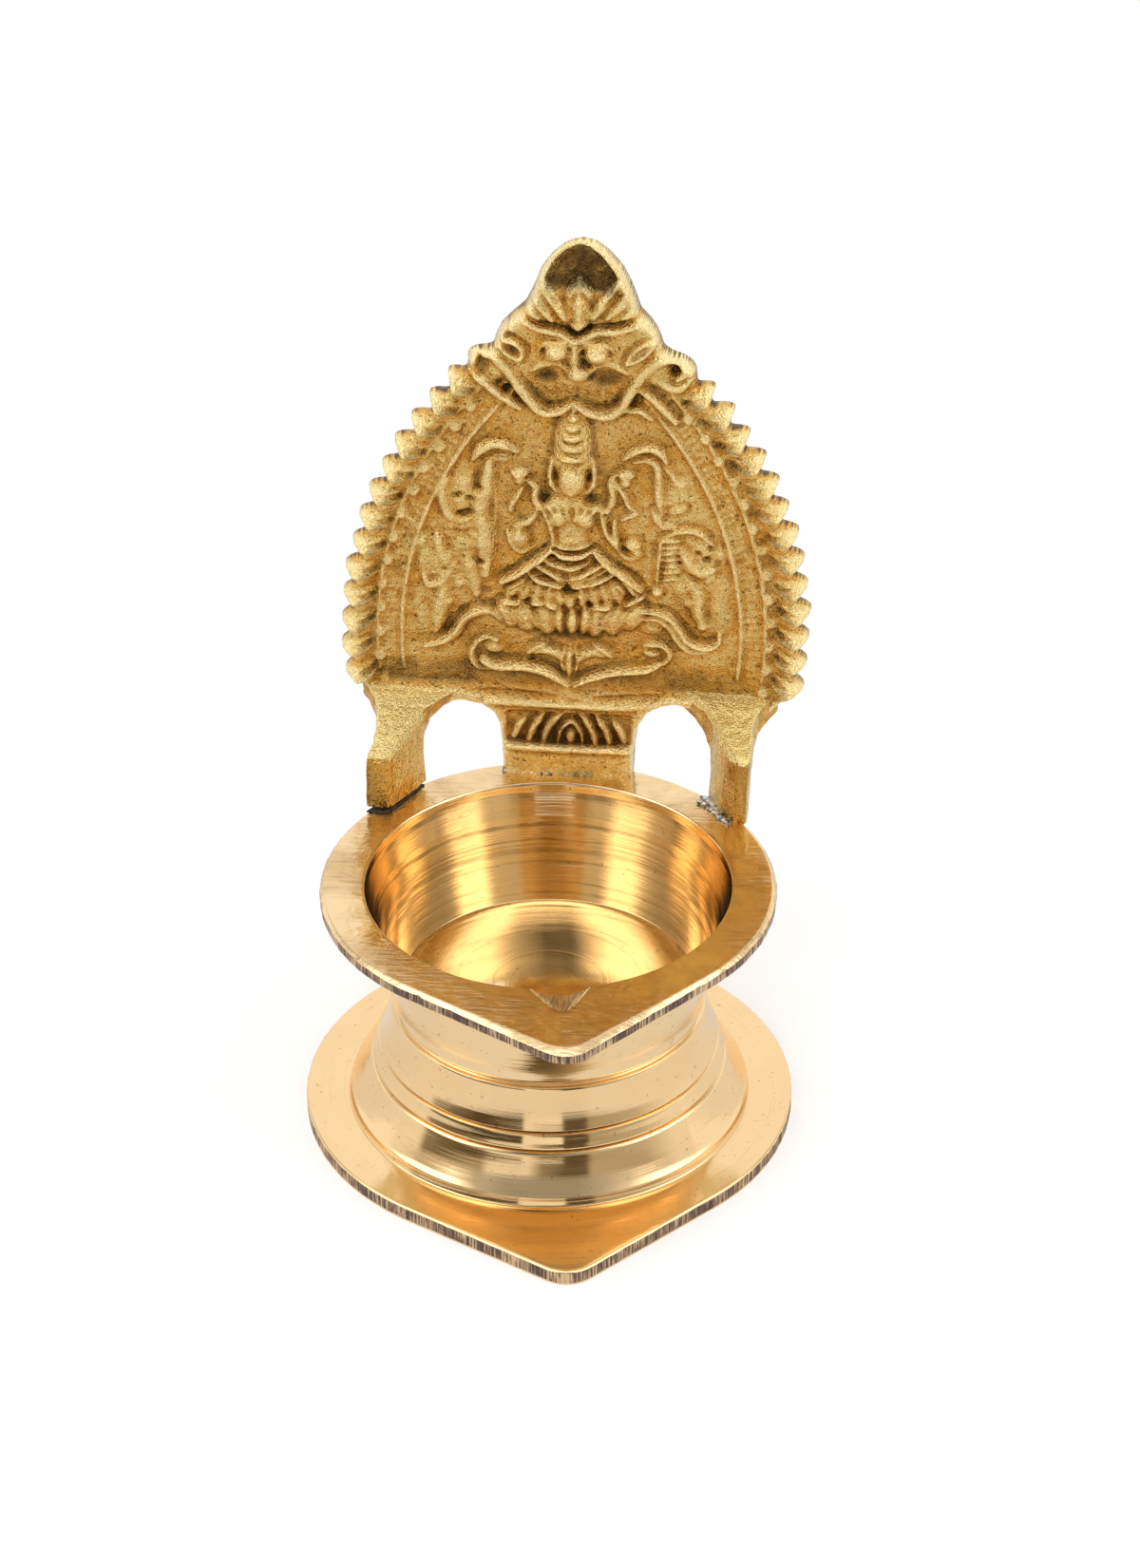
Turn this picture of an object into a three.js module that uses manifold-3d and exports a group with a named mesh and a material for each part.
// A small cast-brass oil lamp with a pierced-arch back plate.
// Millimetres, +Z up. The lamp stands on z = 0, the plate faces -Y, and the origin is the
// middle of the lamp's footprint, so the turning axis of foot and bowl lies a little behind it.
import * as THREE from 'three';
import { mergeVertices } from 'three/addons/utils/BufferGeometryUtils.js';
import Module from 'manifold-3d';

const wasm = await Module();
wasm.setup();
const rad = THREE.MathUtils.degToRad;

// Foot: a leaf-shaped flange that carries a hollow, stepped stem
const footRadius = 31.9;
const footApex = 40.2;          // where the two straight sides of the leaf would meet
const footTipRound = 4.4;
const footEdge = 2.1;
const skirtRadius = 26.0;       // where the stem leaves the flange
const skirtHeight = 3.3;
const lowerRing = { radius: 23.0, height: 8.5 };
const upperRing = { radius: 22.1, height: 10.8 };
const ringGroove = 0.45;        // depth of each turned groove
const waistRadius = 20.5;
const stemWall = 2.2;
const webThickness = 3.2;

// Bowl: a tapered cup with a leaf-shaped rim, screwed to the stem by a stub
const rimRadius = 29.1;
const rimApex = 38.2;
const rimTipRound = 4.0;
const rimThickness = 1.9;
const rimTop = 33.9;
const mouthRadius = 23.4;
const floorRadius = 18.8;
const floorThickness = 1.5;
const bowlDepth = 15.8;
const bowlWall = 1.4;
const heelRadius = 20.0;        // outside of the bowl where it meets the stem
const stubRadius = 5.0;
const stubPastWeb = 2.0;
const stubClearance = 0.3;
const notchWidth = 6.3;
const notchEndWidth = 2.0;
const notchLength = 4.5;
const notchDepth = 1.1;

// Foot and bowl are soldered on with their leaf tips turned a little past the plate's front
const tipTurn = rad(7.9);

// Back plate: one sand casting with a flat back
const plateBack = 29.0;         // distance of its flat back from the turning axis
const fieldThickness = 2.3;
const plateShift = 0.6;         // the plate stands slightly off centre
const plateLean = rad(1.2);     // and leans slightly in its own plane
const archHalfWidth = 30.6;     // from the middle to the tips of the widest flames
const archRadius = 64.0;        // through the tips of the flames on one side
const archCentreZ = 18.4;
const flameLength = 5.6;
const flameWidth = 3.5;
const flameRise = 1.5;
const flameCount = 13;
const lowestFlame = 14.4;       // heights of the first and last tip
const highestFlame = 57.6;
const outerRibInset = 5.4;      // from the flame tips in to each rib
const innerRibInset = 8.6;
const ribWidth = 1.1;
const ribRise = 0.8;
const fieldBottom = 12.3;
const plateTop = 76.5;
const solderFilm = 0.3;

// Legs and centre block that stand on the rim
const legHalfWidth = { top: 6.0, foot: 3.4 };
const legCentre = { top: 20.6, foot: 21.6 };
const footFront = 14.6;
const footDepth = 7.0;
const kneeHeight = 8.2;
const archTop = 10.6;
const archway = { inner: 8.7, outer: 19.5, shoulder: 7.0 };
const blockDepth = 3.5;

const turnSteps = 60;

const brassBody = { color: 0xd8b063, metalness: 1.0, roughness: 0.22 };
const brassPlate = { color: 0xc39a3f, metalness: 1.0, roughness: 0.42 };
const solderGrey = { color: 0xc9c8c4, metalness: 1.0, roughness: 0.35 };

// A closed geometry as a solid that can be joined and cut
function solid(geometry) {
  const bare = geometry.clone();
  bare.deleteAttribute('normal');
  bare.deleteAttribute('uv');
  const merged = mergeVertices(bare, 1e-4);
  const vertProperties = Float32Array.from(merged.attributes.position.array);
  const triVerts = Uint32Array.from(merged.index.array);
  return new wasm.Manifold(new wasm.Mesh({ numProp: 3, vertProperties, triVerts }));
}

function joined(solids) {
  return solids.reduce((sum, next) => sum.add(next));
}

// A solid back as a named mesh with its own material
function piece(name, body, look) {
  const mesh = body.getMesh();
  const geometry = new THREE.BufferGeometry();
  geometry.setAttribute('position', new THREE.BufferAttribute(mesh.vertProperties, 3));
  geometry.setIndex(new THREE.BufferAttribute(mesh.triVerts, 1));
  geometry.computeVertexNormals();
  const result = new THREE.Mesh(geometry, new THREE.MeshStandardMaterial(look));
  result.name = name;
  return result;
}

// A turned form about Z from [radius, height] points
function turned(profile, steps = turnSteps) {
  const points = profile.map(([r, z]) => new THREE.Vector2(r, z));
  return solid(new THREE.LatheGeometry(points, steps).rotateX(Math.PI / 2));
}

// A box from its two opposite corners
function block(low, high) {
  const size = high.map((value, i) => value - low[i]);
  const middle = high.map((value, i) => (value + low[i]) / 2);
  return solid(new THREE.BoxGeometry(...size).translate(...middle));
}

// A leaf: a round disc drawn out to a rounded tip, turned to the lamp's tip direction
function leaf(radius, apex, tipRound, low, high) {
  const reach = Math.acos(radius / apex);
  const tipCentre = apex * (1 - tipRound / radius);
  const forward = -Math.PI / 2 + tipTurn;
  const outline = new THREE.Shape();
  outline.absarc(0, 0, radius, forward + reach, forward + 2 * Math.PI - reach, false);
  outline.absarc(tipCentre * Math.cos(forward), tipCentre * Math.sin(forward), tipRound,
    forward - reach, forward + reach, false);
  const shape = new THREE.ExtrudeGeometry(outline,
    { depth: high - low, bevelEnabled: false, curveSegments: 30 });
  return solid(shape.translate(0, 0, low));
}

const floorTop = rimTop - bowlDepth;
const seat = floorTop - floorThickness;

// Foot flange and stem, open underneath
function makePedestal() {
  const groove = ({ radius, height }) => [
    [radius, height - ringGroove],
    [radius - ringGroove, height],
    [radius - ringGroove * 0.2, height + ringGroove],
  ];
  const outside = [
    [0, footEdge / 2],
    [footRadius - 1, footEdge / 2],
    [footRadius - 1, footEdge],
    [skirtRadius, skirtHeight],
    ...groove(lowerRing),
    ...groove(upperRing),
    [waistRadius, seat - 0.6],
    [waistRadius - 0.6, seat],
    [0, seat],
  ];
  const hollow = [
    [0, -1],
    [skirtRadius - stemWall, -1],
    [skirtRadius - stemWall, footEdge / 2],
    [lowerRing.radius - stemWall, lowerRing.height],
    [waistRadius - stemWall - 1, seat - webThickness - 1],
    [waistRadius - stemWall - 2, seat - webThickness],
    [0, seat - webThickness],
  ];
  const tapping = [
    [0, 0],
    [stubRadius + stubClearance, 0],
    [stubRadius + stubClearance, seat + 1],
    [0, seat + 1],
  ];
  return leaf(footRadius, footApex, footTipRound, 0, footEdge)
    .add(turned(outside))
    .subtract(turned(hollow))
    .subtract(turned(tapping));
}

// The wick rest: a filed notch that runs from the mouth towards the tip
function wickNotch() {
  const cone = new THREE.CylinderGeometry(notchEndWidth / 2, notchWidth / 2, notchLength, 10);
  cone.scale(1, 1, notchDepth / (notchWidth / 2));
  cone.rotateZ(Math.PI);
  cone.translate(0, -mouthRadius - notchLength / 2 + 0.3, 0);
  cone.rotateZ(tipTurn);
  cone.translate(0, 0, rimTop);
  return solid(cone);
}

function makeBowl() {
  const wallUnderRim = mouthRadius + bowlWall;
  const stubEnd = seat - webThickness - stubPastWeb;
  const outside = [
    [0, stubEnd],
    [stubRadius - 0.6, stubEnd],
    [stubRadius, stubEnd + 0.6],
    [stubRadius, seat],
    [heelRadius, seat],
    [heelRadius + 0.5, seat + 3],
    [wallUnderRim - 0.8, rimTop - rimThickness - 2],
    [wallUnderRim, rimTop - rimThickness / 2],
    [0, rimTop - rimThickness / 2],
  ];
  const inside = [
    [0, floorTop],
    [floorRadius - 0.8, floorTop],
    [floorRadius, floorTop + 0.7],
    [mouthRadius - 0.3, rimTop - 0.6],
    [mouthRadius, rimTop],
    [mouthRadius, rimTop + 1],
    [0, rimTop + 1],
  ];
  return leaf(rimRadius, rimApex, rimTipRound, rimTop - rimThickness, rimTop)
    .add(turned(outside))
    .subtract(turned(inside))
    .subtract(wickNotch());
}

// Relief is drawn in the plate's own plane: x across, z up from the rim, and y is depth.
// field is the y of the plain ground, and forms rise from it towards -Y.
const field = plateBack - fieldThickness;
const sunk = 0.5;

// A rounded ridge along a smooth line through [x, z] points, tapered at its ends
function ridge(points, width, rise, endScale = 0.35) {
  const line = new THREE.CatmullRomCurve3(points.map(([x, z]) => new THREE.Vector3(x, 0, z)));
  const steps = Math.max(2, Math.ceil(line.getLength() / 2.8));
  const sides = 5;
  const positions = [];
  const index = [];
  for (let i = 0; i <= steps; i += 1) {
    const t = i / steps;
    const at = line.getPoint(t);
    const along = line.getTangent(t);
    const full = endScale + (1 - endScale) * Math.sin(Math.PI * Math.min(1, Math.max(0, t)));
    const swell = points.length === 2 ? Math.sqrt(full) : Math.min(1, full * 1.35);
    for (let k = 0; k < sides; k += 1) {
      const a = Math.PI * (k / (sides - 1));
      const across = Math.cos(a) * width * swell / 2;
      const depth = k === 0 || k === sides - 1 ? sunk : -Math.sin(a) * rise * swell;
      positions.push(at.x + along.z * across, field + depth, at.z - along.x * across);
    }
  }
  const last = steps * sides;
  for (let i = 0; i < steps; i += 1) {
    for (let k = 0; k < sides; k += 1) {
      const a = i * sides + k;
      const b = i * sides + ((k + 1) % sides);
      index.push(a, b + sides, b, a, a + sides, b + sides);
    }
  }
  for (let k = 1; k < sides - 1; k += 1) {
    index.push(0, k, k + 1, last, last + k + 1, last + k);
  }
  const geometry = new THREE.BufferGeometry();
  geometry.setAttribute('position', new THREE.Float32BufferAttribute(positions, 3));
  geometry.setIndex(index);
  return solid(geometry);
}

// A rounded boss: half-widths across and up, rise from the ground, tilt in the plane
function boss(x, z, halfX, halfZ, rise, tilt = 0, steps = [10, 6]) {
  const form = new THREE.SphereGeometry(1, ...steps);
  form.scale(halfX, rise + sunk, halfZ);
  form.rotateY(tilt);
  form.translate(x, field + sunk, z);
  return solid(form);
}

const mirrored = (points) => points.map(([x, z]) => [-x, z]);

// The same form on both sides of the middle
function pair(make, points, ...rest) {
  return [make(points, ...rest), make(mirrored(points), ...rest)];
}

function bossPair(x, z, halfX, halfZ, rise, tilt = 0, steps = undefined) {
  return [boss(x, z, halfX, halfZ, rise, tilt, steps), boss(-x, z, halfX, halfZ, rise, -tilt, steps)];
}

const archCentreX = archHalfWidth - archRadius;

// A point on an arc that runs with the arch, on the right-hand side
function onArch(radius, angle) {
  return [archCentreX + radius * Math.cos(angle), archCentreZ + radius * Math.sin(angle)];
}

function archLine(radius, from, to, count) {
  return Array.from({ length: count }, (_, i) => onArch(radius, from + (to - from) * i / (count - 1)));
}

// Angles of the first and last flame on the arc
const firstFlame = Math.asin((lowestFlame - archCentreZ) / archRadius);
const lastFlame = Math.asin((highestFlame - archCentreZ) / archRadius);
const flameStep = (lastFlame - firstFlame) / (flameCount - 1);
const flameRoot = archRadius - flameLength * 0.62;

// The plate's outline without its flames, from the right-hand lower corner round the top
function plateOutline() {
  const headSide = [
    [12.8, 61.0], [11.0, 61.8], [9.8, 64.4], [7.7, 67.1], [6.4, 69.7], [4.8, 73.2], [2.9, 75.7],
  ];
  const right = [
    [legCentre.top + legHalfWidth.top, fieldBottom],
    ...archLine(flameRoot, firstFlame - flameStep / 2, lastFlame + flameStep / 2, 15),
    ...headSide,
  ];
  const outline = new THREE.Shape();
  outline.moveTo(0, fieldBottom);
  right.forEach(([x, z]) => outline.lineTo(x, z));
  outline.lineTo(0, plateTop);
  right.reverse().forEach(([x, z]) => outline.lineTo(-x, z));
  outline.closePath();
  return outline;
}

// A shape drawn in x and z, as a slab between two depths
function slab(outline, front, back) {
  const form = new THREE.ExtrudeGeometry(outline,
    { depth: back - front, bevelEnabled: false, curveSegments: 8 });
  return solid(form.rotateX(Math.PI / 2).translate(0, back, 0));
}

// Flames: fat tongues round the arch, each one turned a little more upright than the last
function flames() {
  const forms = [];
  for (let i = 0; i < flameCount; i += 1) {
    const angle = firstFlame + flameStep * i;
    const [x, z] = onArch(archRadius - flameLength / 2, angle);
    const tilt = -angle * 1.2;
    for (const side of [1, -1]) {
      const tongue = new THREE.SphereGeometry(1, 10, 6);
      tongue.rotateZ(Math.PI / 2);
      tongue.scale(flameLength / 2, (fieldThickness + flameRise) / 2, flameWidth / 2);
      tongue.rotateY(side * tilt);
      tongue.translate(side * x, plateBack - (fieldThickness + flameRise) / 2, z);
      forms.push(solid(tongue));
    }
  }
  return forms;
}

function archRibs() {
  const from = firstFlame - flameStep * 0.3;
  const to = lastFlame + flameStep * 0.5;
  return [
    ...pair(ridge, archLine(archRadius - outerRibInset, from, to, 12), ribWidth, ribRise, 0.7),
    ...pair(ridge, archLine(archRadius - innerRibInset, from, to, 12), ribWidth, ribRise, 0.7),
  ];
}

// The lion mask at the top of the arch
function lionMask() {
  return [
    ...pair(ridge, [[6.8, 67.3], [5.5, 71.3], [3.4, 74.2], [0.2, 75.5]], 2.0, 1.3, 0.8),
    ridge([[0.2, 65.8], [0.4, 69], [0.5, 72.0]], 2.0, 1.3),
    ...pair(ridge, [[1.8, 65.8], [3.3, 68.4], [4.8, 71.0]], 1.7, 1.1),
    ...pair(ridge, [[4.2, 66.2], [6.0, 67.8], [7.6, 69.2]], 1.6, 1.0),
    ...pair(ridge, [[0.4, 64.2], [4.4, 65.1], [8.6, 65.9]], 1.3, 1.0),
    ...bossPair(2.6, 62.0, 2.3, 1.7, 1.6),
    ...pair(ridge, [[5.6, 60.2], [7.2, 61.5], [8.8, 63.4]], 1.6, 1.2),
    boss(0.3, 59.3, 1.3, 2.4, 1.8),
    ...bossPair(3.6, 57.6, 2.6, 1.5, 0.9),
    ...pair(ridge, [[0.6, 56.2], [3.4, 55.0], [6.6, 55.8]], 2.2, 1.2),
    ...pair(ridge,
      [[0.4, 53.6], [3.3, 53.0], [6.4, 55.2], [8.3, 58.4], [11.2, 60.7], [14.2, 60.6], [14.3, 58.6]],
      1.5, 1.5, 0.6),
    ...bossPair(13.0, 60.3, 2.6, 2.2, 0.9),
  ];
}

// The seated figure and the lotus that carries it
function figure() {
  const crown = [0, 1, 2, 3, 4].map(
    (i) => boss(-0.1, 46.4 + 1.75 * i, 2.2 - 0.24 * i, 1.15, 1.7 - 0.08 * i),
  );
  return [
    ...crown,
    boss(-0.1, 53.9, 0.8, 1.3, 1.0),
    boss(0, 42.8, 2.5, 3.1, 1.9),
    boss(0, 38.4, 5.6, 2.3, 1.2),
    boss(-0.2, 35.2, 3.2, 4.0, 1.5),
    ...bossPair(1.8, 37.3, 1.5, 1.6, 1.7),
    ...pair(ridge, [[3.9, 38.6], [6.4, 39.6], [6.6, 42.2], [6.0, 44.6]], 1.7, 1.2, 0.6),
    ...bossPair(6.6, 46.2, 1.6, 1.7, 1.1),
    ...pair(ridge, [[4.6, 37.8], [5.6, 34.9], [7.4, 33.2]], 1.9, 1.2, 0.6),
    ...bossPair(7.0, 35.2, 1.5, 1.8, 0.9),
    ridge([[-2.9, 33.4], [0, 32.4], [2.7, 33.4]], 1.1, 1.6, 0.7),
    ...pair(ridge, [[2.9, 33.2], [6.0, 30.8], [9.3, 28.9]], 2.0, 1.6, 0.6),
    ...pair(ridge, [[0, 30.0], [2.2, 31.0], [4.4, 31.8]], 1.1, 1.3, 0.8),
    ...pair(ridge, [[-0.4, 28.1], [2.6, 29.0], [5.6, 30.4]], 1.3, 1.2, 0.8),
    ...bossPair(4.8, 27.8, 4.6, 1.5, 0.9, rad(8)),
    boss(0, 25.9, 9.6, 2.0, 0.8, 0, [14, 6]),
    ...[1.4, 3.9, 6.4].flatMap((x, i) => bossPair(x, 23.4 + 0.4 * i, 1.3, 2.3, 1.2, rad(-8 - 12 * i))),
    ...[-2.6, 2.6].map((x) => boss(x, 19.0, 2.6, 1.0, 1.0, x > 0 ? rad(18) : rad(-18))),
    boss(-0.4, 18.2, 1.0, 2.1, 1.0),
  ];
}

// Scrolls, attendants and plinth round the figure
function surrounds() {
  return [
    ...pair(ridge, [[11.0, 20.2], [12.4, 18.6], [11.6, 16.6], [6.6, 16.2], [2.8, 15.2], [0.2, 13.6]],
      1.4, 1.6, 0.7),
    ...pair(ridge, [[9.4, 24.2], [11.8, 24.6], [13.8, 23.2], [15.8, 20.8], [18.4, 20.2], [19.2, 21.6]],
      1.2, 1.3, 0.6),
    ...pair(ridge, [[6.4, 47.8], [9.0, 49.0], [11.3, 47.4], [11.4, 42.6], [10.6, 39.0]], 1.5, 1.3, 0.6),
    ...bossPair(14.4, 41.0, 2.4, 2.6, 1.0),
    ...pair(ridge, [[13.4, 38.2], [13.0, 33.8], [11.6, 27.8]], 3.2, 0.9, 0.7),
    ...bossPair(16.6, 32.4, 2.6, 3.6, 1.3),
    ...pair(ridge, [[17.6, 28.6], [17.0, 24.2]], 1.8, 1.0),
  ];
}

// Plinth, and the centre block with its fan of petals
function plinth() {
  const across = legCentre.top - legHalfWidth.top;
  const proud = blockDepth - fieldThickness;        // the block's own front stands before the field
  const ledge = archway.inner - 0.5;
  return [
    ridge([[-across, 12.6], [0, 12.6], [across, 12.6]], 1.5, 1.5, 0.8),
    boss(0, 6.0, 1.7, 2.4, proud + 1.0),
    ...[1, 2].flatMap((i) => bossPair(2.7 * i, 6.2 + 0.2 * i, 0.8, 2.3, proud + 0.9, rad(-16 * i))),
    ridge([[-ledge, 3.5], [0, 3.3], [ledge, 3.5]], 1.3, proud + 0.9, 0.9),
  ];
}

// The centre block, which fills the space between the two archways
function centreBlock() {
  const outline = new THREE.Shape();
  outline.moveTo(-archway.inner - 4, -1);
  outline.lineTo(archway.inner + 4, -1);
  outline.lineTo(archway.inner + 4, fieldBottom + 1);
  outline.lineTo(-archway.inner - 4, fieldBottom + 1);
  outline.closePath();
  return slab(outline, plateBack - blockDepth, plateBack);
}

// The space under one arch, as a shape to be cut out
function archwayCut(side) {
  const { inner, outer, shoulder } = archway;
  const outline = new THREE.Shape();
  outline.moveTo(side * inner, -2);
  outline.lineTo(side * outer, -2);
  outline.lineTo(side * outer, shoulder - 2);
  outline.bezierCurveTo(side * outer, shoulder + 1.2, side * (outer - 3.0), archTop,
    side * (inner + outer) / 2, archTop);
  outline.bezierCurveTo(side * (inner + 2.8), archTop, side * (inner + 0.5), shoulder,
    side * inner, shoulder - 4);
  outline.closePath();
  return slab(outline, footFront + footDepth, plateBack + 1);
}

// One leg: it leaves the plate's lower corner, comes forward to a knee and stands on the rim
function leg(side) {
  const inner = side * (legCentre.top - legHalfWidth.top - 1.5);
  const outer = side * (legCentre.top + legHalfWidth.top);
  const footIn = side * (legCentre.foot - legHalfWidth.foot);
  const footOut = side * (legCentre.foot + legHalfWidth.foot);
  const plan = new THREE.Shape();
  plan.moveTo(inner, plateBack);
  plan.lineTo(outer, plateBack);
  plan.lineTo(outer - side * 0.6, field);
  plan.lineTo(footOut, footFront);
  plan.lineTo(footIn + side * 1.6, footFront);
  plan.lineTo(footIn, footFront + 2.4);
  plan.quadraticCurveTo(footIn + side * 1.0, field - 4, inner + side * 1.5, field - 1.5);
  plan.closePath();
  const upright = new THREE.ExtrudeGeometry(plan,
    { depth: fieldBottom + 3, bevelEnabled: false, curveSegments: 6 });
  const standing = solid(upright.translate(0, 0, -1));
  const profile = new THREE.Shape();
  profile.moveTo(footFront, -2);
  profile.lineTo(footFront + footDepth, -2);
  profile.lineTo(footFront + footDepth, kneeHeight * 0.35);
  profile.quadraticCurveTo(footFront + footDepth + 0.8, archTop - 1, plateBack + 1, archTop);
  profile.lineTo(plateBack + 1, fieldBottom + 1.2);
  profile.lineTo(field, fieldBottom + 0.8);
  profile.lineTo(footFront + 0.6, kneeHeight + 0.3);
  profile.lineTo(footFront, kneeHeight - 0.7);
  profile.closePath();
  const swung = new THREE.ExtrudeGeometry(profile, { depth: 80, bevelEnabled: false, curveSegments: 6 });
  swung.rotateX(Math.PI / 2).rotateZ(Math.PI / 2).translate(-40, 0, 0);
  return standing.intersect(solid(swung));
}

function makePlate() {
  const forms = [
    slab(plateOutline(), field, plateBack),
    ...flames(),
    ...archRibs(),
    ...lionMask(),
    ...figure(),
    ...surrounds(),
    ...plinth(),
    centreBlock(),
    leg(1),
    leg(-1),
  ];
  const seatPlane = rimTop + solderFilm;
  const kept = block([-60, 0, seatPlane], [60, plateBack, seatPlane + 100]);
  return joined(forms)
    .subtract(archwayCut(1))
    .subtract(archwayCut(-1))
    .rotate([0, THREE.MathUtils.radToDeg(plateLean), 0])
    .translate([plateShift, 0, rimTop])
    .intersect(kept);
}

// Solder under a foot: a thin film, as wide as what stands on it and a little more
function solderUnder(plate, low, high) {
  const spread = 0.35;
  const layer = block([low[0], low[1], rimTop], [high[0], high[1], rimTop + solderFilm * 1.7]);
  const contact = plate.intersect(layer);
  const box = contact.boundingBox();
  return block(
    [box.min[0] - spread, box.min[1] - spread, rimTop],
    [box.max[0] + spread, box.max[1] + spread, rimTop + solderFilm],
  );
}

// The film stays on the rim: nothing of it hangs past the rim's edge or into the mouth
function onRim(film) {
  const ring = turned([
    [mouthRadius + 0.3, rimTop],
    [rimRadius - 0.2, rimTop],
    [rimRadius - 0.2, rimTop + solderFilm],
    [mouthRadius + 0.3, rimTop + solderFilm],
    [mouthRadius + 0.3, rimTop],
  ]);
  return film.intersect(ring);
}

const pedestal = makePedestal();
const bowl = makeBowl();
const plate = makePlate();

const lamp = new THREE.Group();
lamp.add(piece('pedestal', pedestal, brassBody));
lamp.add(piece('bowl', bowl, brassBody));
lamp.add(piece('back_plate', plate, brassPlate));
lamp.add(piece('left_foot_solder', onRim(solderUnder(plate, [-40, 0], [-12, 40])), solderGrey));
lamp.add(piece('centre_foot_solder', onRim(solderUnder(plate, [-12, 0], [12, 40])), solderGrey));
lamp.add(piece('right_foot_solder', onRim(solderUnder(plate, [12, 0], [40, 40])), solderGrey));

// The origin is the middle of the whole lamp's footprint
const bounds = new THREE.Box3().setFromObject(lamp);
lamp.position.set(-(bounds.min.x + bounds.max.x) / 2, -(bounds.min.y + bounds.max.y) / 2, 0);

export default lamp;
